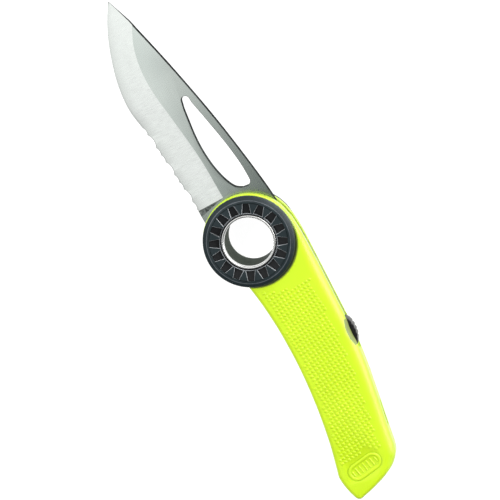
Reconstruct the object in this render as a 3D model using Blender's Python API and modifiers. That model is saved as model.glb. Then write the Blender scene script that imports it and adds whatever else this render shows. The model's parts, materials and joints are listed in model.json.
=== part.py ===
"""A folding rigging knife, open, lying on its rear wheel.

The blade is clamped between two ribbed wheels by an open eyelet, and all four turn together in the round
eyes of a two-shell handle.  A rocking lever along the handle's spine locks the blade: its tooth drops into
a notch in the tang, and a leaf spring behind it holds it there until the release button is pressed.

Metres, +Z up.  +X points to the blade's tip, +Y to its cutting edge and -Y to its spine.  The origin is
the middle of the knife's footprint.  Every shape is drawn about the blade's pivot, with z = 0 in the
middle of the blade's thickness, and the empty named knife carries it all to its place.
"""

import math

import bmesh
import bpy
from mathutils import Matrix, Vector

MM = 0.001

# Stack of the knife's thickness, as heights above the middle of the blade.
BLADE_HALF = 1.2 * MM
CHANNEL_HALF = 1.35 * MM
WASHER_POCKET_TOP = 1.65 * MM
SHELL_TOP = 4.75 * MM
WHEEL_BASE = 5.0 * MM
WHEEL_TOP = 7.3 * MM
SEAM_HALF = 0.05 * MM

# The pivot's rings, from the clear hole outwards.
EYE_CLEAR_RADIUS = 7.8 * MM
TUBE_RADIUS = 8.35 * MM
HUB_BORE_RADIUS = 8.5 * MM
TANG_BORE_RADIUS = 8.7 * MM
LIP_RADIUS = 8.75 * MM
LIP_SEAT_RADIUS = 9.0 * MM
HUB_RADIUS = 10.3 * MM
SHELL_EYE_RADIUS = 10.4 * MM
TANG_RADIUS = 11.6 * MM
WHEEL_RADIUS = 14.65 * MM
HEAD_RADIUS = 14.95 * MM

# The blade.
TIP = Vector((86.7, 6.9)) * MM
EDGE_HALF = 0.15 * MM
BELLY_REACH = 16.6 * MM
FOLD_ANGLE = math.radians(171)
TOOTH_NOTCH = (-2.35 * MM, 2.2 * MM, -10.4 * MM)  # its two sides in x, and its floor in y
BIG_SCALLOP = (4.9 * MM, 0.85 * MM)  # length along the edge, and depth
SMALL_SCALLOP = (2.7 * MM, 0.45 * MM)

# The handle.
BUTT_REACH = 91.3 * MM
SHELL_ROUNDING = 1.3 * MM
SCOOP_X = -41.0 * MM
SCOOP_RADIUS = 28.0 * MM  # where it meets the shell's outer face
SCOOP_FLOOR = -14.35 * MM
SCOOP_SLOPE = 0.75  # how much shallower it gets towards the seam

# The lock.
LEVER_PIN = Vector((-24.0, -13.2)) * MM
LEVER_PIN_RADIUS = 1.2 * MM
SPRING_PIN = Vector((-70.2, -10.8)) * MM
SPRING_PIN_RADIUS = 1.0 * MM
PIN_HALF_LENGTH = 3.2 * MM
SPRING_THICKNESS = 0.55 * MM
BUTTON_REACH = 17.4 * MM
PAD_HALF = 2.3 * MM
FIT_GAP = 0.1 * MM

# The screws that close the handle from the rear.
SCREWS = [Vector(place) * MM for place in ((-55.0, -13.1), (-77.6, -7.4), (-84.6, -1.4))]
SCREW_RADIUS = 1.0 * MM
SCREW_HEAD_RADIUS = 1.9 * MM
SCREW_TIP = 2.9 * MM
SCREW_HEAD_TOP = 4.5 * MM
SCREW_HEAD_BASE = 3.35 * MM

TEETH = 16
TURN_STEPS = 48

PIVOT = Vector(((BUTT_REACH - TIP.x) / 2, (BUTTON_REACH - BELLY_REACH) / 2, WHEEL_TOP))

COLOURS = {  # colour, metallic, roughness
    "lime_nylon": ((0.62, 0.95, 0.03), 0.0, 0.45),
    "black_nylon": ((0.035, 0.042, 0.052), 0.0, 0.5),
    "blade_steel": ((0.62, 0.66, 0.63), 1.0, 0.3),
    "spring_steel": ((0.42, 0.43, 0.42), 1.0, 0.35),
    "polished_steel": ((0.78, 0.79, 0.78), 1.0, 0.15),
    "white_acetal": ((0.8, 0.8, 0.78), 0.0, 0.5),
}


# ---------------------------------------------------------------- points


def mm(*points):
    """These points, given in millimetres, as vectors in metres."""
    return [Vector(point) * MM for point in points]


def arc(centre, radius, start, end, steps):
    """Points on an arc from angle start to angle end in degrees, both ends included."""
    angles = (math.radians(start + (end - start) * i / steps) for i in range(steps + 1))
    return [Vector(centre) + radius * Vector((math.cos(a), math.sin(a))) for a in angles]


def smooth(points, per_span=5):
    """A Catmull-Rom curve through the points, its ends included."""
    padded = [2 * points[0] - points[1], *points, 2 * points[-1] - points[-2]]
    curve = []
    for before, start, end, after in zip(padded, padded[1:], padded[2:], padded[3:]):
        for i in range(per_span):
            t = i / per_span
            curve.append(
                0.5
                * (
                    2 * start
                    + (end - before) * t
                    + (2 * before - 5 * start + 4 * end - after) * t**2
                    + (3 * start - before - 3 * end + after) * t**3
                )
            )
    return [*curve, points[-1].copy()]


def turned_by(points, angle):
    """The points turned about the pivot."""
    turn = Matrix.Rotation(angle, 2)
    return [turn @ point for point in points]


def along(curve, x):
    """The point where a curve that always runs one way in x passes x."""
    for a, b in zip(curve, curve[1:]):
        if min(a.x, b.x) <= x <= max(a.x, b.x):
            return a.lerp(b, (x - a.x) / (b.x - a.x))
    raise ValueError("the curve doesn't reach that x")


def ribbon(line, width):
    """The outline of a strip of this width along a line of points."""
    left, right = [], []
    for i, point in enumerate(line):
        ahead = line[min(i + 1, len(line) - 1)] - line[max(i - 1, 0)]
        side = Vector((-ahead.y, ahead.x)).normalized() * width / 2
        left.append(point + side)
        right.append(point - side)
    return left + right[::-1]


# ---------------------------------------------------------------- objects


def start_scene():
    """An empty scene with a collection for the parts and one for the cutters."""
    for obj in list(bpy.data.objects):
        bpy.data.objects.remove(obj)
    for name in ("rigging_knife", "cutters"):
        bpy.context.scene.collection.children.link(bpy.data.collections.new(name))
    for name, (colour, metallic, roughness) in COLOURS.items():
        material = bpy.data.materials.new(name)
        material.use_nodes = True
        shader = material.node_tree.nodes["Principled BSDF"]
        shader.inputs["Base Color"].default_value = (*colour, 1)
        shader.inputs["Metallic"].default_value = metallic
        shader.inputs["Roughness"].default_value = roughness


def add_empty(name, place, parent=None):
    empty = bpy.data.objects.new(name, None)
    empty.empty_display_size = 5 * MM
    bpy.data.collections["rigging_knife"].objects.link(empty)
    empty.parent = parent
    empty.location = place
    return empty


def add_mesh(name, mesh):
    obj = bpy.data.objects.new(name, mesh)
    bpy.context.scene.collection.objects.link(obj)
    return obj


def as_mesh(obj):
    """A plain mesh object in place of obj, as its modifiers or its curve settings make it."""
    bpy.context.view_layer.update()
    evaluated = obj.evaluated_get(bpy.context.evaluated_depsgraph_get())
    mesh = bpy.data.meshes.new_from_object(evaluated)
    solid = bmesh.new()
    solid.from_mesh(mesh)
    bmesh.ops.remove_doubles(solid, verts=solid.verts, dist=0.0005 * MM)
    solid.to_mesh(mesh)
    solid.free()
    name = obj.name
    place = obj.matrix_world.copy()
    bpy.data.objects.remove(obj)
    plain = add_mesh(name, mesh)
    plain.matrix_world = place
    return plain


def plate(name, outline, low, high, holes=()):
    """A flat piece with this outline and these holes, from height low to height high."""
    curve = bpy.data.curves.new(name, "CURVE")
    curve.dimensions = "2D"
    curve.fill_mode = "BOTH"
    curve.extrude = (high - low) / 2
    for loop in (outline, *holes):
        spline = curve.splines.new("POLY")
        spline.points.add(len(loop) - 1)
        spline.use_cyclic_u = True
        for point, place in zip(spline.points, loop):
            point.co = (*place, (low + high) / 2, 1)
    obj = bpy.data.objects.new(name, curve)
    bpy.context.scene.collection.objects.link(obj)
    return as_mesh(obj)


def turned(name, profile, steps=TURN_STEPS):
    """A turned piece.  The profile's points are (radius, height), going down its outer side."""
    mesh = bpy.data.meshes.new(name)
    closes = profile[0][0] > 0
    count = len(profile)
    lines = [(i, (i + 1) % count) for i in range(count if closes else count - 1)]
    mesh.from_pydata([(radius, 0, height) for radius, height in profile], lines, [])
    obj = add_mesh(name, mesh)
    screw = obj.modifiers.new("Turn", "SCREW")
    screw.steps = screw.render_steps = steps
    screw.use_merge_vertices = True
    screw.merge_threshold = 0.001 * MM
    return as_mesh(obj)


def cylinder(name, place, radius, low, high, sides=24):
    bpy.ops.mesh.primitive_cylinder_add(
        vertices=sides, radius=radius, depth=high - low, location=(*place, (low + high) / 2)
    )
    obj = bpy.context.object
    obj.name = name
    return obj


def cone(name, place, radii, low, high, sides=128):
    """A cut-off cone with the first radius at height low and the second at height high."""
    bpy.ops.mesh.primitive_cone_add(
        vertices=sides,
        radius1=radii[0],
        radius2=radii[1],
        depth=high - low,
        location=(*place, (low + high) / 2),
    )
    obj = bpy.context.object
    obj.name = name
    return obj


def cut(obj, cutter):
    """Takes the cutter's shape out of obj."""
    boolean = obj.modifiers.new(cutter.name, "BOOLEAN")
    boolean.operation = "DIFFERENCE"
    boolean.solver = "EXACT"
    boolean.object = cutter
    for collection in list(cutter.users_collection):
        collection.objects.unlink(cutter)
    bpy.data.collections["cutters"].objects.link(cutter)
    cutter.hide_render = True
    cutter.display_type = "WIRE"


def join(obj, addition):
    """Makes obj and a piece that overlaps it one body."""
    boolean = obj.modifiers.new(addition.name, "BOOLEAN")
    boolean.operation = "UNION"
    boolean.solver = "EXACT"
    boolean.object = addition
    joined = as_mesh(obj)
    bpy.data.objects.remove(addition)
    return joined


def merged(obj, other):
    """Two separate meshes kept in one object, for cutters that don't meet."""
    both = bmesh.new()
    both.from_mesh(obj.data)
    both.from_mesh(other.data)
    both.to_mesh(obj.data)
    both.free()
    bpy.data.objects.remove(other)
    return obj


def round_rim(obj, height, width, segments=3):
    """Rounds the rim of obj's flat face at this height."""
    solid = bmesh.new()
    solid.from_mesh(obj.data)
    inside = [edge for edge in solid.edges if all(abs(face.normal.z) > 0.99 for face in edge.link_faces)]
    bmesh.ops.dissolve_edges(solid, edges=inside, use_verts=False)
    rim = [
        edge
        for edge in solid.edges
        if all(abs(vertex.co.z - height) < 0.01 * MM for vertex in edge.verts)
        and any(abs(face.normal.z) < 0.5 for face in edge.link_faces)
    ]
    bmesh.ops.bevel(
        solid, geom=rim, offset=width, segments=segments, profile=0.5, affect="EDGES", clamp_overlap=False
    )
    solid.to_mesh(obj.data)
    solid.free()


def flip_over(obj):
    """Mirrors obj's mesh from the front of the knife to the rear."""
    solid = bmesh.new()
    solid.from_mesh(obj.data)
    for vertex in solid.verts:
        vertex.co.z = -vertex.co.z
    bmesh.ops.reverse_faces(solid, faces=solid.faces)
    solid.to_mesh(obj.data)
    solid.free()


def finish(obj, material, parent, smooth_below=35):
    """Gives a part its material and its parent, and puts its origin on its parent's."""
    obj.data.materials.clear()
    obj.data.materials.append(bpy.data.materials[material])
    obj.data.shade_smooth()
    obj.data.set_sharp_from_angle(angle=math.radians(smooth_below))
    obj.data.transform(obj.matrix_world)
    obj.matrix_world = Matrix.Identity(4)
    if parent.parent:  # a moving piece turns about its parent's own place
        obj.data.transform(Matrix.Translation(-parent.location))
    obj.parent = parent
    for collection in list(obj.users_collection):
        collection.objects.unlink(obj)
    bpy.data.collections["rigging_knife"].objects.link(obj)
    return obj


# ---------------------------------------------------------------- the blade


def blade_spine():
    """The blade's back, from the shoulder at the lock to the tip."""
    return smooth(mm((2.2, -12.9), (9.2, -12.6), (22, -10.5), (40, -6.8), (60, -1.7), (78.4, 3.7))) + [TIP]


def belly():
    """The plain cutting edge, from the tip to the front of the scallops."""
    return smooth(
        [TIP, *mm((80.2, 10.5), (73.5, 13.2), (65.3, 15.5), (58.5, 16.5), (52.5, 16.5), (46.3, 15.3))]
    )


def scallops(start, heading):
    """The serrated edge from its front end: one big scallop to every two small ones."""
    inward = Vector((heading.y, -heading.x))
    inward *= -1 if inward.y > 0 else 1
    points = [start]
    pattern = (SMALL_SCALLOP, *(BIG_SCALLOP, SMALL_SCALLOP, SMALL_SCALLOP) * 2, BIG_SCALLOP, SMALL_SCALLOP)
    for length, depth in pattern:
        steps = 6 if length > 4 * MM else 4
        first = points[-1]
        for i in range(1, steps + 1):
            t = i / steps
            points.append(first + heading * length * t + inward * depth * math.sin(math.pi * t))
    return points


def grind_line():
    """The upper edge of the blade's ground faces, from the plunge to where it meets the spine."""
    return smooth(mm((15.5, 2.0), (30, 3.0), (45, 5.3), (54, 6.8), (62, 7.2), (70, 6.0), (76.5, 3.4)))


def tang():
    """The blade's outline round the pivot, from the lock's shoulder to the heel of the edge."""
    lower = math.degrees(math.asin(2.35 * MM / TANG_RADIUS))
    return arc((0, 0), TANG_RADIUS, -90 - lower, -288, 26) + mm((9.0, 10.75), (12.9, 11.0))


def blade_mesh():
    """The ground blank: a flat of full thickness, and two faces that run down to the edge."""
    edge_front = belly()
    heel = edge_front[-1]
    heading = (mm((14.9, 11.3))[0] - heel).normalized()
    edge = edge_front + scallops(heel, heading)[1:]
    spine = blade_spine()
    grind = grind_line()
    edge_from_heel = edge[::-1]
    solid = bmesh.new()

    def at(point, half):
        return [solid.verts.new((*point, half)), solid.verts.new((*point, -half))]

    # The ground faces' upper side: the grind line, then the last stretch of the spine.
    first, last = grind[0], grind[-1]
    spine_end = [p for p in spine if p.x > last.x + 1 * MM]
    upper = [at(p, BLADE_HALF) for p in grind[:-1]]
    join_point = along(spine, last.x)
    upper.append(at(join_point, BLADE_HALF))
    reach = (along(edge_front, last.x) - join_point).length
    for p in spine_end[:-1]:
        width = (along(edge_front, p.x) - p).length
        upper.append(at(p, EDGE_HALF + (BLADE_HALF - EDGE_HALF) * width / reach))
    tip = at(spine_end[-1], EDGE_HALF)
    lower = [at(p, EDGE_HALF) for p in edge_from_heel[:-1]]

    # The flat, from the heel round the tang and along the spine.
    spine_start = [p for p in spine if p.x < last.x - 1 * MM]
    flat = [at(p, BLADE_HALF) for p in tang()[::-1] + spine_start]
    flat_loop = upper[: len(grind)] + flat[::-1]
    solid.faces.new([pair[0] for pair in flat_loop][::-1])
    solid.faces.new([pair[1] for pair in flat_loop])

    # The ground faces are strips between two lines with unlike point counts.
    def strip(side):
        i = j = 0
        while i < len(upper) - 1 or j < len(lower) - 1:
            go_upper = j == len(lower) - 1 or (
                i < len(upper) - 1 and upper[i + 1][0].co.x <= lower[j + 1][0].co.x
            )
            third = upper[i + 1] if go_upper else lower[j + 1]
            corners = [upper[i][side], third[side], lower[j][side]]
            solid.faces.new(corners)
            i, j = (i + 1, j) if go_upper else (i, j + 1)
        solid.faces.new([upper[-1][side], tip[side], lower[-1][side]])
        solid.faces.new([upper[0][side], lower[0][side], flat[0][side]])

    strip(0)
    strip(1)
    rim = [upper[len(grind) - 1], *upper[len(grind) :], tip, *lower[::-1], *flat]
    for one, other in zip(rim, rim[1:] + rim[:1]):
        solid.faces.new([one[0], other[0], other[1], one[1]])
    bmesh.ops.recalc_face_normals(solid, faces=solid.faces)
    mesh = bpy.data.meshes.new("blade")
    solid.to_mesh(mesh)
    solid.free()
    return mesh


def thumb_slot():
    """The long opening in the blade's flat."""
    front = arc(mm((48.4, -1.2))[0], 1.3 * MM, 75, -75, 6)
    back = smooth(mm((47.6, -2.5), (38.8, -4.7), (30.6, -6.6), (23, -7.9), (17.6, -8.3)), 3)
    heel = arc(mm((17.4, -6.6))[0], 1.7 * MM, -100, -170, 4)
    near = smooth(mm((15.7, -5.4), (17.4, -2.8), (21.7, -0.7), (28, 0.8), (36, 1.3), (47.4, 0.45)), 3)
    return front + back[1:-1] + heel + near[1:-1]


def make_blade(parent):
    blade = add_mesh("blade", blade_mesh())
    reach = 3 * MM
    cut(blade, plate("cut_thumb_slot", thumb_slot(), -reach, reach))
    cut(blade, cylinder("cut_tang_bore", (0, 0), TANG_BORE_RADIUS, -reach, reach, TURN_STEPS))
    for i in range(2):
        bar = mm((-10.1, -1.9), (10.1, -1.9), (10.1, 1.9), (-10.1, 1.9))
        cut(blade, plate(f"cut_drive_{i + 1}", turned_by(bar, math.radians(45 + 90 * i)), -reach, reach))
    left, right, floor = TOOTH_NOTCH
    outside = -15 * MM
    seat = [Vector(p) for p in ((left, floor), (left, outside), (right, outside), (right, floor))]
    for name, angle in (("open", 0), ("closed", -FOLD_ANGLE)):
        cut(blade, plate(f"cut_notch_{name}", turned_by(seat, angle), -reach, reach))
    finish(blade, "blade_steel", parent, 20)


# ---------------------------------------------------------------- the wheels and the eyelet


def tooth_pocket(index):
    """One recess between the wheel's teeth: wide and deep inside, narrow and shallow outside."""
    inner, outer = 9.3 * MM, 12.5 * MM
    half_in, half_out = 1.35 * MM, 0.9 * MM
    corners = [(inner, -half_in), (outer, -half_out), (outer, half_out), (inner, half_in)]
    outline = [Vector(corner) for corner in corners]
    pocket = plate(f"cut_pocket_{index}", outline, WHEEL_TOP - 1 * MM, WHEEL_TOP + 1 * MM)
    for vertex in pocket.data.vertices:
        if vertex.co.z < WHEEL_TOP and vertex.co.x > (inner + outer) / 2:
            vertex.co.z += 0.5 * MM
    pocket.data.transform(Matrix.Rotation(2 * math.pi * index / TEETH, 4, "Z"))
    return pocket


def make_wheel(name, lip_seat, rear, parent):
    """A ribbed wheel with its hub, and the four tabs that drive the blade."""
    hub_end = BLADE_HALF + 0.08 * MM
    chamfer = 1.0 * MM
    wheel = turned(
        name,
        [
            (LIP_SEAT_RADIUS, WHEEL_TOP),
            (WHEEL_RADIUS - chamfer, WHEEL_TOP),
            (WHEEL_RADIUS - 0.3 * MM, WHEEL_TOP - 0.55 * MM),
            (WHEEL_RADIUS, WHEEL_TOP - 1.2 * MM),
            (WHEEL_RADIUS, WHEEL_BASE + 0.3 * MM),
            (WHEEL_RADIUS - 0.3 * MM, WHEEL_BASE),
            (HUB_RADIUS, WHEEL_BASE),
            (HUB_RADIUS, hub_end),
            (HUB_BORE_RADIUS, hub_end),
            (HUB_BORE_RADIUS, lip_seat),
            (LIP_SEAT_RADIUS, lip_seat),
        ],
    )
    for i in range(4):
        tab = mm((8.9, -1.7), (9.95, -1.7), (9.95, 1.7), (8.9, 1.7))
        angle = math.radians(45 + 90 * i)
        wheel = join(wheel, plate(f"tab_{i}", turned_by(tab, angle), SEAM_HALF, hub_end + 0.5 * MM))
    pockets = tooth_pocket(0)
    for i in range(1, TEETH):
        pockets = merged(pockets, tooth_pocket(i))
    pockets.name = f"cut_pockets_{name}"
    if rear:
        flip_over(wheel)
        flip_over(pockets)
    cut(wheel, pockets)
    finish(wheel, "black_nylon", parent)


def make_eyelet(parent):
    """The open tube that clamps the wheels to the blade, with a rolled lip at each end."""
    lip_top = WHEEL_TOP - 0.25 * MM
    lip_base = WHEEL_TOP - 0.95 * MM
    upper = [
        (EYE_CLEAR_RADIUS, lip_base),
        (EYE_CLEAR_RADIUS + 0.08 * MM, lip_top - 0.3 * MM),
        (EYE_CLEAR_RADIUS + 0.3 * MM, lip_top),
        (LIP_RADIUS - 0.3 * MM, lip_top),
        (LIP_RADIUS, lip_top - 0.25 * MM),
        (LIP_RADIUS, lip_base),
        (TUBE_RADIUS, lip_base),
    ]
    finish(turned("eyelet", upper + [(r, -z) for r, z in upper[::-1]]), "polished_steel", parent)


def ring(name, inner, outer, low, high, material, parent):
    profile = [(inner, high), (outer, high), (outer, low), (inner, low)]
    finish(turned(name, profile), material, parent)


def make_rotor(parent):
    make_blade(parent)
    lip_seat = WHEEL_TOP - 1.0 * MM
    ring_thickness = 0.4 * MM
    make_wheel("front_wheel", lip_seat, False, parent)
    make_wheel("rear_wheel", lip_seat - ring_thickness - 0.05 * MM, True, parent)
    make_eyelet(parent)
    seat = -lip_seat + 0.03 * MM
    ring_top = seat + ring_thickness - 0.02 * MM
    ring("eyelet_ring", 8.42 * MM, 8.9 * MM, seat, ring_top, "polished_steel", parent)
    washer_base, washer_top = BLADE_HALF + 0.08 * MM, BLADE_HALF + 0.38 * MM
    inner, outer = SHELL_EYE_RADIUS + 0.1 * MM, TANG_RADIUS - 0.1 * MM
    ring("front_washer", inner, outer, washer_base, washer_top, "white_acetal", parent)
    ring("rear_washer", inner, outer, -washer_top, -washer_base, "white_acetal", parent)


# ---------------------------------------------------------------- the handle


def handle_outline():
    """The handle seen from the front: the round head, the spine, the pointed butt and the finger side."""
    shoulder = mm((1.2, -15.2), (-5, -15.8), (-14, -16.1), (-26, -16.25), (-38, -16.3))
    back = mm((-50, -15.7), (-62, -14.3), (-74, -12.7), (-79.6, -12.0))
    spine = smooth(shoulder + back)
    heel = smooth(mm((-79.6, -12.0), (-82.4, -11.2), (-84.8, -9.3), (-86.3, -7.2), (-88.0, -4.0)), 4)
    butt = smooth(mm((-88.0, -4.0), (-89.7, 0.2), (-91.0, 4.1)), 4)
    chin = arc(mm((-89.4, 5.1))[0], 1.9 * MM, -175, -240, 5)
    lip = smooth(mm((-88.2, 7.55), (-85.2, 8.35), (-82.0, 8.7), (-79.4, 8.2)), 4)
    front = mm((-79.4, 8.2), (-70.2, 6.4), (-58, 4.9), (-45, 4.2), (-32, 4.5), (-21.4, 5.6), (-13.0, 7.1))
    finger = smooth(front)
    head = arc((0, 0), HEAD_RADIUS, 151, -78, 28)
    return spine + heel[1:] + butt[1:-1] + chin[1:] + lip + finger[1:-1] + head


def channel_outline():
    """What is open between the shells: the blade's channel, the lever's slot and the spring's pocket."""
    floor = mm((-88, 20), (-88, 7.6), (-87.0, 5.6), (-83, 2.7), (-78, -0.6), (-72, -3.9), (-67.5, -6.1))
    wedge = mm((-63, -7.8), (-60, -8.55), (-68, -8.55))
    eye = arc(SPRING_PIN, 2.25 * MM, 92, 212, 8) + arc(SPRING_PIN, 2.25 * MM, 240, 328, 6)
    slot = mm((-66.5, -11.5), (-46.6, -11.4), (-46.6, -20), (20, -20), (20, 20))
    return floor + wedge + eye + slot


def make_shell(name, rear, parent):
    shell = plate(name, handle_outline(), SEAM_HALF, SHELL_TOP)
    round_rim(shell, SHELL_TOP, SHELL_ROUNDING)
    below = -1 * MM
    above = SHELL_TOP + 1 * MM
    blind = PIN_HALF_LENGTH + FIT_GAP
    scoop = (SCOOP_X, SCOOP_FLOOR - SCOOP_RADIUS)
    scoop_radii = [SCOOP_RADIUS + SCOOP_SLOPE * (height - SHELL_TOP) for height in (below, above)]
    pad_pocket = mm((-34.5, -20), (-34.9, -15.5), (-35.5, -14.9), (-45.0, -14.9), (-45.9, -15.4), (-46.2, -20))
    window = mm((-73.4, -16), (-64.8, -16), (-64.8, -11.2), (-73.4, -11.2))
    cutters = [
        plate(f"cut_channel_{name}", channel_outline(), below, CHANNEL_HALF),
        cylinder(f"cut_eye_{name}", (0, 0), SHELL_EYE_RADIUS, below, above, TURN_STEPS),
        cylinder(f"cut_washer_{name}", (0, 0), TANG_RADIUS + 0.1 * MM, below, WASHER_POCKET_TOP, TURN_STEPS),
        cone(f"cut_scoop_{name}", scoop, scoop_radii, below, above),
        plate(f"cut_pad_{name}", pad_pocket, below, PAD_HALF + 0.35 * MM),
        plate(f"cut_window_{name}", window, below, 0.8 * MM),
        cylinder(f"cut_lever_pin_{name}", LEVER_PIN, LEVER_PIN_RADIUS + FIT_GAP, below, blind),
        cylinder(f"cut_spring_pin_{name}", SPRING_PIN, SPRING_PIN_RADIUS + FIT_GAP, below, blind),
    ]
    for i, place in enumerate(SCREWS):
        depth = above if rear else SCREW_TIP + 0.3 * MM
        cutters.append(cylinder(f"cut_screw_{i}_{name}", place, SCREW_RADIUS + FIT_GAP, below, depth, 20))
        if rear:
            seat = SCREW_HEAD_BASE - 0.05 * MM
            bore = SCREW_HEAD_RADIUS + 0.15 * MM
            cutters.append(cylinder(f"cut_head_{i}_{name}", place, bore, seat, above, 24))
    if rear:
        for obj in (shell, *cutters):
            obj.data.transform(obj.matrix_world)
            obj.matrix_world = Matrix.Identity(4)
            flip_over(obj)
    for cutter in cutters:
        cut(shell, cutter)
    finish(shell, "lime_nylon", parent)


def make_screw(index, place, parent):
    """A thread-forming screw, its head to the rear."""
    screw = turned(
        f"shell_screw_{index}",
        [
            (0, SCREW_TIP),
            (SCREW_RADIUS * 0.5, SCREW_TIP),
            (SCREW_RADIUS, SCREW_TIP - 0.6 * MM),
            (SCREW_RADIUS, -SCREW_HEAD_BASE),
            (SCREW_HEAD_RADIUS, -SCREW_HEAD_BASE),
            (SCREW_HEAD_RADIUS, -SCREW_HEAD_TOP + 0.3 * MM),
            (SCREW_HEAD_RADIUS - 0.3 * MM, -SCREW_HEAD_TOP),
            (0, -SCREW_HEAD_TOP),
        ],
        20,
    )
    screw.location = (*place, 0)
    bpy.context.view_layer.update()
    socket_floor = -SCREW_HEAD_TOP + 0.8 * MM
    cut(screw, cylinder(f"cut_socket_{index}", place, 0.85 * MM, -SCREW_HEAD_TOP - 1 * MM, socket_floor, 6))
    finish(screw, "spring_steel", parent)


def make_handle(parent):
    make_shell("front_shell", False, parent)
    make_shell("rear_shell", True, parent)
    for i, place in enumerate(SCREWS):
        make_screw(i + 1, place, parent)
    half = PIN_HALF_LENGTH
    finish(cylinder("lever_pin", LEVER_PIN, LEVER_PIN_RADIUS, -half, half), "spring_steel", parent)
    finish(cylinder("spring_pin", SPRING_PIN, SPRING_PIN_RADIUS, -half, half), "spring_steel", parent)
    leaf = smooth(mm((-41.0, -10.1), (-49, -9.75), (-58, -9.45), (-66, -9.4)), 4)
    curl = arc(SPRING_PIN, 1.4 * MM, 90, 345, 16)
    width = 1.1 * MM
    finish(plate("lock_spring", ribbon(leaf + curl, SPRING_THICKNESS), -width, width), "spring_steel", parent)


# ---------------------------------------------------------------- the lock


def make_lock(parent):
    """The rocking lever, just lifted clear of the tang, with the button clipped into its rear end."""
    back = smooth(mm((1.8, -14.6), (-1.5, -15.1), (-6.5, -15.65), (-16, -15.95), (-34.8, -16.1)), 4)
    seat = mm((-35.2, -14.2), (-37.3, -14.2), (-36.8, -12.9), (-41.2, -12.9), (-40.7, -14.2))
    end = mm((-44.6, -14.2), (-45.4, -13.4), (-45.4, -11.3), (-44.6, -10.5))
    underside = smooth(mm((-18, -10.5), (-13.5, -10.75), (-9, -11.7), (-5.5, -12.7), (-2.2, -12.9)), 4)
    tooth = mm((-1.9, -11.9), (1.7, -11.9))
    pin_hole = arc(LEVER_PIN, LEVER_PIN_RADIUS + FIT_GAP, 0, 345, 23)
    outline = back + seat + end + underside + tooth
    lever = plate("lock_lever", outline, -BLADE_HALF, BLADE_HALF, [pin_hole])
    finish(lever, "spring_steel", parent)

    top = smooth(mm((-35.5, -16.0), (-37.0, -17.0), (-39.4, -17.4), (-42.3, -17.15), (-44.9, -16.0)), 4)
    pad = plate("release_button", top + mm((-44.9, -15.7), (-35.5, -15.7)), -PAD_HALF, PAD_HALF)
    stem = mm((-35.6, -15.8), (-44.2, -15.8), (-44.2, -14.3), (-40.55, -14.3), (-41.0, -13.0))
    stem += mm((-37.0, -13.0), (-37.45, -14.3), (-35.6, -14.3))
    button = join(pad, plate("button_stem", stem, -BLADE_HALF, BLADE_HALF))
    finish(button, "black_nylon", parent)


def main():
    start_scene()
    knife = add_empty("knife", PIVOT)
    blade_pivot = add_empty("blade_pivot", (0, 0, 0), knife)
    lever_pivot = add_empty("lever_pivot", (*LEVER_PIN, 0), knife)
    make_rotor(blade_pivot)
    make_handle(knife)
    make_lock(lever_pivot)
    for cutter in bpy.data.collections["cutters"].objects:
        cutter.parent = knife
    bpy.context.view_layer.update()


main()
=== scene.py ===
"""The rigging knife's looks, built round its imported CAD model.

Metres, in the frame of the CAD.  Most shapes are drawn about the blade's pivot, with z = 0 in the middle
of the blade's thickness, and moved to their place at the end by show().
"""

import json
import math

import bmesh
import bpy
from mathutils import Matrix, Vector

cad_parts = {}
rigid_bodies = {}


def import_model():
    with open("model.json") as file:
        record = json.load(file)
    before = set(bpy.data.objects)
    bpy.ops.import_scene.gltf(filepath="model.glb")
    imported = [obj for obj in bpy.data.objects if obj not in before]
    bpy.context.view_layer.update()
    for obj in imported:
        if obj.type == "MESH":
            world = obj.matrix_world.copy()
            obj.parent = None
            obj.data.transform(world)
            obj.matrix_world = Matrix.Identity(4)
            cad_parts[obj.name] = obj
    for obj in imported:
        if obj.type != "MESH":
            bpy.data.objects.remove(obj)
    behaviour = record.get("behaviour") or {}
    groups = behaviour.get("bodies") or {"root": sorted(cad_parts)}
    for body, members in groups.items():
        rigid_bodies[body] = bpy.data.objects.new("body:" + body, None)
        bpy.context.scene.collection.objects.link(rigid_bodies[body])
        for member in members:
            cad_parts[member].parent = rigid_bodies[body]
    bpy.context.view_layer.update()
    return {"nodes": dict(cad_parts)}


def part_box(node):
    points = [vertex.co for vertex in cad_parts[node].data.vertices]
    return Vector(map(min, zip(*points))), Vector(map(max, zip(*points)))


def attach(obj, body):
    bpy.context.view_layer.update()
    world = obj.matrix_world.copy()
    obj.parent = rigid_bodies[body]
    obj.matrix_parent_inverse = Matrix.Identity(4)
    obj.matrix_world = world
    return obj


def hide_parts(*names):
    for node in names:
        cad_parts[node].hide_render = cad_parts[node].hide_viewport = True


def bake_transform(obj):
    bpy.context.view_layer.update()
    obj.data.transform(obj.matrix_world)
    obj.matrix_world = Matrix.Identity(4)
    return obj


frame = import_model()

MM = 0.001
EYELET_LOW, EYELET_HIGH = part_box("eyelet")
PIVOT = (EYELET_LOW + EYELET_HIGH) / 2
SHELL_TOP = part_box("front_shell")[1].z - PIVOT.z
WHEEL_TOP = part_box("front_wheel")[1].z - PIVOT.z
WHEEL_RADIUS = (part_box("front_wheel")[1].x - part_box("front_wheel")[0].x) / 2
BLADE_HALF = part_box("blade")[1].z - PIVOT.z
LIP_TOP = EYELET_HIGH.z - PIVOT.z
TIP = Vector((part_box("blade")[1].x - PIVOT.x, 6.9 * MM))

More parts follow.
